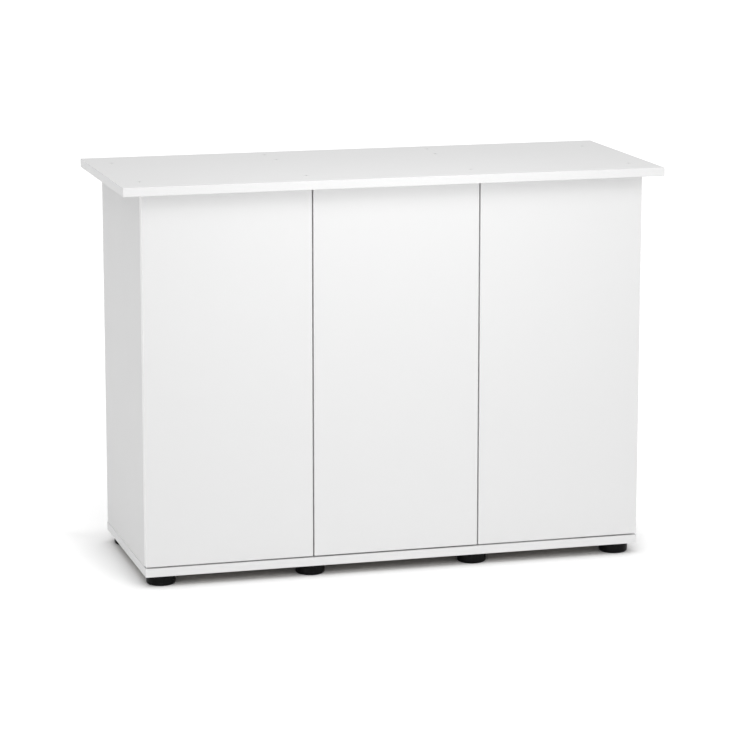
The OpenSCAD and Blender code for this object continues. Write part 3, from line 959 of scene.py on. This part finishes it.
@dataclass
class FootSet:
    """The eight round moulded feet, each with a rounded sole, a screw recess and a mounting rim."""

    nodes: tuple[str, ...] = tuple(f"foot_{row}_{i}" for row in ("front", "rear") for i in (1, 2, 3, 4))
    sides: int = 96
    sole_rounding: float = 4 * MM
    sole_steps: int = 6
    rim_chamfer: float = 0.5 * MM
    recess_radius: float = 7 * MM
    web_thickness: float = 7 * MM
    screw_hole_radius: float = 2.35 * MM

    def build(self, finishes: "Finishes") -> list[bpy.types.Object]:
        """Makes one foot and copies it to the places of the others.

        Args:
            finishes: The cabinet's materials.

        Returns:
            The feet.
        """
        first = self.model(finishes)
        start = self.middle(self.nodes[0])
        feet = [first]
        for node in self.nodes[1:]:
            feet.append(Shop.twin(first, f"{node}_moulding", self.middle(node) - start))
        for node, foot in zip(self.nodes, feet):
            Shop.mount(foot, "carcass", "foot_plastic", [node])
        return feet

    @staticmethod
    def middle(node: str) -> Vector:
        """The middle of a foot's box."""
        low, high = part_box(node)
        return (low + high) / 2

    def model(self, finishes: "Finishes") -> bpy.types.Object:
        """Shapes the first foot.

        Args:
            finishes: The cabinet's materials.

        Returns:
            The foot.
        """
        low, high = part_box(self.nodes[0])
        centre = (low + high) / 2
        radius = (high.x - low.x) / 2
        foot = Shop.rod(f"{self.nodes[0]}_moulding", centre, radius, high.z - low.z, Axis.Z, self.sides)

        def lies_at(level: float) -> Callable[[Vector, Vector], bool]:
            """A test for flat faces at a level."""
            return lambda place, normal: abs(place.z - level) < NEAR and abs(normal.z) > 0.99

        Shop.edit(foot)
        Shop.pick_faces(foot, lies_at(low.z))
        bpy.ops.mesh.inset(thickness=radius - self.recess_radius)
        bpy.ops.mesh.extrude_region_move(
            TRANSFORM_OT_translate={"value": (0, 0, high.z - self.web_thickness - low.z)}
        )
        bpy.ops.mesh.inset(thickness=self.recess_radius - self.screw_hole_radius)
        bpy.ops.mesh.delete(type="FACE")
        Shop.pick_faces(foot, lies_at(high.z))
        bpy.ops.mesh.inset(thickness=radius - self.screw_hole_radius)
        bpy.ops.mesh.delete(type="FACE")
        Shop.pick_edges(
            foot,
            lambda one, two: all(
                abs((p - centre).xy.length - self.screw_hole_radius) < 2 * NEAR for p in (one, two)
            )
            and abs(one.z - two.z) < NEAR,
        )
        bpy.ops.mesh.bridge_edge_loops()
        self.round_rim(foot, centre, radius, low.z, self.sole_rounding, self.sole_steps)
        self.round_rim(foot, centre, radius, high.z, self.rim_chamfer, 2)
        self.round_rim(foot, centre, self.recess_radius, low.z, self.rim_chamfer, 2)
        Shop.leave()
        Shop.wear(foot, finishes.foot)
        Shop.smooth(foot)
        return foot

    @staticmethod
    def round_rim(
        foot: bpy.types.Object, centre: Vector, radius: float, level: float, size: float, steps: int
    ) -> None:
        """Bevels one round rim in edit mode.

        Args:
            foot: The foot.
            centre: The foot's middle.
            radius: The rim's radius.
            level: The rim's height.
            size: The bevel's width.
            steps: The bevel's segments.
        """
        Shop.pick_edges(
            foot,
            lambda one, two: all(
                abs((p - centre).xy.length - radius) < 2 * NEAR and abs(p.z - level) < NEAR
                for p in (one, two)
            ),
        )
        bpy.ops.mesh.bevel(offset=size, segments=steps, profile=0.5, affect="EDGES")


# ---------------------------------------------------------------------------------------------
# Hinge trim
# ---------------------------------------------------------------------------------------------


@dataclass
class HingeScrews:
    """The two cross-slotted adjusting screws on each hinge arm."""

    head_radius: float = 3.3 * MM
    head_height: float = 1.3 * MM
    slot_length: float = 4.2 * MM
    slot_width: float = 1.0 * MM
    slot_depth: float = 0.8 * MM
    crown_bevel: float = 0.4 * MM
    sunk: float = 0.2 * MM
    places: tuple[float, ...] = (0.42, 0.82)
    sides: int = 32

    def build(self, finishes: "Finishes") -> list[bpy.types.Object]:
        """Makes one screw and copies it along every hinge arm.

        Args:
            finishes: The cabinet's materials.

        Returns:
            The screws.
        """
        screws: list[bpy.types.Object] = []
        for door in Door:
            for index, (low, high) in enumerate(solids_of(f"arms_{door.value}")):
                for spot, share in enumerate(self.places):
                    seat = self.seat(door, low, high, share)
                    name = f"adjusting_screw_{door.value}_{index + 1}_{spot + 1}"
                    screw = self.model(name, seat, self.facing(door))
                    Shop.wear(screw, finishes.steel)
                    Shop.smooth(screw)
                    Shop.mount(screw, "carcass", "hinge_steel")
                    screws.append(screw)
        return screws

    @staticmethod
    def facing(door: Door) -> int:
        """Which way along X a hinge arm's open side looks: away from the panel that bears it."""
        return 1 if door is Door.LEFT else -1

    def seat(self, door: Door, low: Vector, high: Vector, share: float) -> Vector:
        """Where a screw's head stands on its arm.

        Args:
            door: The arm's door.
            low: The arm's lowest corner.
            high: The arm's highest corner.
            share: How far along the arm it stands, from front to rear.

        Returns:
            The middle of the head's seat.
        """
        face = high.x if self.facing(door) > 0 else low.x
        return Vector((face, low.y + share * (high.y - low.y), (low.z + high.z) / 2))

    def model(self, name: str, seat: Vector, facing: int) -> bpy.types.Object:
        """Shapes one screw head with a crossed slot.

        Args:
            name: The screw's name.
            seat: The middle of its seat.
            facing: Which way along X it looks.

        Returns:
            The screw.
        """
        middle = seat + Vector((facing * (self.head_height - self.sunk) / 2, 0, 0))
        length = self.head_height + self.sunk
        screw = Shop.rod(name, middle, self.head_radius, length, Axis.X, self.sides)
        crown = seat.x + facing * self.head_height
        Shop.edit(screw)
        Shop.pick_edges(screw, lambda one, two: max(abs(one.x - crown), abs(two.x - crown)) < NEAR)
        bpy.ops.mesh.bevel(offset=self.crown_bevel, segments=3, profile=0.5, affect="EDGES")
        Shop.leave()
        for sizes in ((self.slot_length, self.slot_width), (self.slot_width, self.slot_length)):
            Shop.cut(screw, self.slot(crown, seat, sizes))
        return screw

    def slot(self, crown: float, seat: Vector, sizes: tuple[float, float]) -> bpy.types.Object:
        """One slot's solid.

        Args:
            crown: The X of the head's crown.
            seat: The middle of the head's seat.
            sizes: The slot's size along Y and Z.

        Returns:
            The solid.
        """
        half = Vector((self.slot_depth, sizes[0] / 2, sizes[1] / 2))
        middle = Vector((crown, seat.y, seat.z))
        return Shop.block("slot", middle - half, middle + half)


# ---------------------------------------------------------------------------------------------
# Finishes of the whole cabinet
# ---------------------------------------------------------------------------------------------


@dataclass
class Finishes:
    """The cabinet's materials, each built once."""

    melamine: bpy.types.Material
    band: bpy.types.Material
    door_band: bpy.types.Material
    core: bpy.types.Material
    backing: bpy.types.Material
    foot: bpy.types.Material
    steel: bpy.types.Material
    zinc: bpy.types.Material
    cap_screw: bpy.types.Material
    housing: bpy.types.Material
    plunger: bpy.types.Material
    beech: bpy.types.Material

    @classmethod
    def mix(cls) -> "Finishes":
        """Builds every material."""
        return cls(
            melamine=Melamine().material(),
            band=EdgeBand().material(),
            # a lighter copy of the edge band for the doors, painted light for the shade in the gaps
            # between them
            door_band=EdgeBand("white_door_band", tone=0.85).material(),
            core=Chipboard().material(),
            backing=BackingPaper().material(),
            foot=MouldedPlastic("black_foot_plastic", tone=0.003, roughness=0.30, gloss=0.10).material(),
            steel=PlatedSteel("nickelled_hinge_steel", tone=0.62, warmth=0.02).material(),
            zinc=PlatedSteel("zinc_screw_steel", tone=0.55, warmth=-0.03, roughness=0.36).material(),
            cap_screw=CoatedScrew("white_coated_screw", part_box("top_plate")[1].z).material(),
            housing=MouldedPlastic("latch_housing_plastic", tone=0.30, roughness=0.42).material(),
            plunger=MouldedPlastic("latch_plunger_plastic", tone=0.62, roughness=0.38).material(),
            beech=Beech().material(),
        )


@dataclass(frozen=True)
class Hardware:
    """The frame's own screws, pins and fittings, which keep their shape and get their finishes."""

    steel: tuple[str, ...] = (
        "cups", "cup_pins", "inner_links", "outer_links", "arms", "arm_pins", "hinge_plates"
    )
    zinc: tuple[str, ...] = (
        "base_screws", "back_screws", "cup_screws", "plate_screws", "latch_screws", "foot_screws",
        "shelf_pins", "strike",
    )

    def dress(self, finishes: Finishes) -> None:
        """Gives each of the frame's shown nodes its material.

        Args:
            finishes: The cabinet's materials.
        """
        for name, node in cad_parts.items():
            material = self.finish_of(name, finishes)
            if material is None:
                continue
            for slot in node.material_slots:
                slot.material = material
            LOG.info("%s keeps its shape and wears %s", name, material.name)

    def finish_of(self, name: str, finishes: Finishes) -> bpy.types.Material | None:
        """A node's material.

        Args:
            name: The node's name.
            finishes: The cabinet's materials.

        Returns:
            The material, or None for a node that a piece replaces.
        """
        if name == "top_screws":
            return finishes.cap_screw
        if name == "dowels":
            return finishes.beech
        if name.startswith("latch_housing"):
            return finishes.housing
        if name.startswith("latch_plunger"):
            return finishes.plunger
        if name.startswith(self.zinc):
            return finishes.zinc
        if name.startswith(self.steel):
            return finishes.steel
        return None


# ---------------------------------------------------------------------------------------------
# Studio
# ---------------------------------------------------------------------------------------------


def light_aim(azimuth: float, elevation: float) -> Vector:
    """The direction in which a light shines.

    Args:
        azimuth: Where it stands, in degrees: nought in front, positive to the left.
        elevation: How high it stands, in degrees.

    Returns:
        The direction, one long.
    """
    turn, rise = math.radians(azimuth), math.radians(elevation)
    return Vector((math.sin(turn) * math.cos(rise), math.cos(turn) * math.cos(rise), -math.sin(rise)))


@dataclass
class SoftBox:
    """One large soft light that looks at a point from an azimuth, an elevation and a distance."""

    name: str
    azimuth: float
    elevation: float
    distance: float
    width: float
    height: float
    power: float
    spread: float
    target: tuple[float, float, float]
    mirrored: bool = True

    def build(self) -> bpy.types.Object:
        """Makes the light.

        Returns:
            The light.
        """
        aim = light_aim(self.azimuth, self.elevation)
        light = bpy.data.lights.new(self.name, "AREA")
        light.shape = "RECTANGLE"
        light.size, light.size_y = self.width, self.height
        light.energy = self.power
        light.spread = math.radians(self.spread)
        holder = bpy.data.objects.new(self.name, light)
        holder.location = Vector(self.target) - aim * self.distance
        holder.rotation_euler = aim.to_track_quat("-Z", "Y").to_euler()
        holder.visible_camera = False
        holder.visible_glossy = self.mirrored
        bpy.context.scene.collection.objects.link(holder)
        LOG.info("light %s", self.name)
        return holder


@dataclass
class BroadSun:
    """A very wide, even light from one direction."""

    name: str
    azimuth: float
    elevation: float
    width: float
    strength: float

    def build(self) -> bpy.types.Object:
        """Makes the light.

        Returns:
            The light.
        """
        aim = light_aim(self.azimuth, self.elevation)
        light = bpy.data.lights.new(self.name, "SUN")
        light.angle = math.radians(self.width)
        light.energy = self.strength
        holder = bpy.data.objects.new(self.name, light)
        holder.rotation_euler = aim.to_track_quat("-Z", "Y").to_euler()
        bpy.context.scene.collection.objects.link(holder)
        LOG.info("light %s", self.name)
        return holder


@dataclass
class Studio:
    """A white paper floor with painted light, a sky brightest overhead, a wide high light and a gridded
    front light.
    """

    floor_reach: float = 60.0
    sky_low: float = 0.40
    sky_high: float = 1.08
    sky_seen: float = 1.0
    lights: tuple[SoftBox | BroadSun, ...] = (
        BroadSun("high_light", azimuth=5.0, elevation=45.0, width=50.0, strength=0.65),
        SoftBox(
            "front_light",
            azimuth=0.0,
            elevation=0.0,
            distance=1.3,
            width=0.5,
            height=0.3,
            power=1.45,
            spread=110.0,
            target=(0.0, -0.19, 0.85),
            mirrored=False,
        ),
        SoftBox(
            "boom_light",
            azimuth=0.0,
            elevation=60.0,
            distance=1.0,
            width=0.9,
            height=0.4,
            power=1.25,
            spread=120.0,
            target=(0.0, -0.19, 0.6),
        ),
    )

    def build(self) -> None:
        """Makes the floor, the sky and the lights."""
        self.floor()
        self.sky()
        for light in self.lights:
            light.build()
        bpy.context.scene.view_settings.view_transform = "Standard"

    def floor(self) -> None:
        """Lays the floor."""
        Shop.clear()
        bpy.ops.mesh.primitive_plane_add(size=2 * self.floor_reach)
        paper = Shop.settle("studio_floor")
        Shop.wear(paper, StudioPaper().material())
        LOG.info("floor laid")

    def sky(self) -> None:
        """Makes the sky: paper white to look at, and as a light brightest overhead."""
        world = bpy.data.worlds.new("studio_sky")
        bpy.context.scene.world = world
        world.use_nodes = True
        nodes, links = world.node_tree.nodes, world.node_tree.links
        nodes.clear()
        height = nodes.new("ShaderNodeSeparateXYZ")
        links.new(nodes.new("ShaderNodeTexCoord").outputs["Generated"], height.inputs[0])
        ramp = nodes.new("ShaderNodeMapRange")
        ramp.inputs["To Min"].default_value = self.sky_low
        ramp.inputs["To Max"].default_value = self.sky_high
        links.new(height.outputs["Z"], ramp.inputs["Value"])
        lit = nodes.new("ShaderNodeBackground")
        links.new(ramp.outputs["Result"], lit.inputs["Strength"])
        seen = nodes.new("ShaderNodeBackground")
        seen.inputs["Strength"].default_value = self.sky_seen
        for background in (seen, lit):
            background.inputs["Color"].default_value = grey(1.0)
        path = nodes.new("ShaderNodeLightPath")
        mixer = nodes.new("ShaderNodeMixShader")
        output = nodes.new("ShaderNodeOutputWorld")
        links.new(path.outputs["Is Camera Ray"], mixer.inputs[0])
        links.new(lit.outputs[0], mixer.inputs[1])
        links.new(seen.outputs[0], mixer.inputs[2])
        links.new(mixer.outputs[0], output.inputs[0])
        LOG.info("sky set")


@dataclass
class CameraRig:
    """The long-lens camera, a little above the cabinet and to its left."""

    place: tuple[float, float, float] = (-1.5537, -5.5799, 1.5114)
    lens: float = 153.71
    sensor: float = 36.0
    pitch: float = 11.392
    yaw: float = 15.54
    reach: float = 200.0

    def build(self) -> bpy.types.Object:
        """Makes the camera and gives it to the scene.

        Returns:
            The camera.
        """
        camera = bpy.data.cameras.new("front_camera")
        camera.lens = self.lens
        camera.sensor_width = self.sensor
        camera.clip_end = self.reach
        camera.dof.use_dof = False
        holder = bpy.data.objects.new("front_camera", camera)
        holder.location = self.place
        holder.rotation_euler = (math.radians(90.0 - self.pitch), 0.0, math.radians(-self.yaw))
        bpy.context.scene.collection.objects.link(holder)
        bpy.context.scene.camera = holder
        LOG.info("camera set")
        return holder


# ---------------------------------------------------------------------------------------------
# The cabinet
# ---------------------------------------------------------------------------------------------


@dataclass
class Cabinet:
    """The whole cabinet: boards, feet, hinge trim and dressed hardware."""

    runs: BoardRun = BoardRun()

    def build(self) -> None:
        """Makes and dresses every piece."""
        finishes = Finishes.mix()
        for node, thin in self.runs.carcass:
            BandedBoard(node, thin, "carcass", node == "base_plate").build(finishes)
        for door in self.runs.doors:
            BandedBoard(door.body, Axis.Y, door.body, arris=self.runs.door_arris).build(finishes)
        FootSet().build(finishes)
        HingeScrews().build(finishes)
        Hardware().dress(finishes)


def main() -> None:
    """Builds the camera, the studio and the cabinet."""
    logging.basicConfig(level=logging.INFO, format="%(name)s: %(message)s")
    CameraRig().build()
    Studio().build()
    Cabinet().build()


if __name__ == "__main__":
    main()
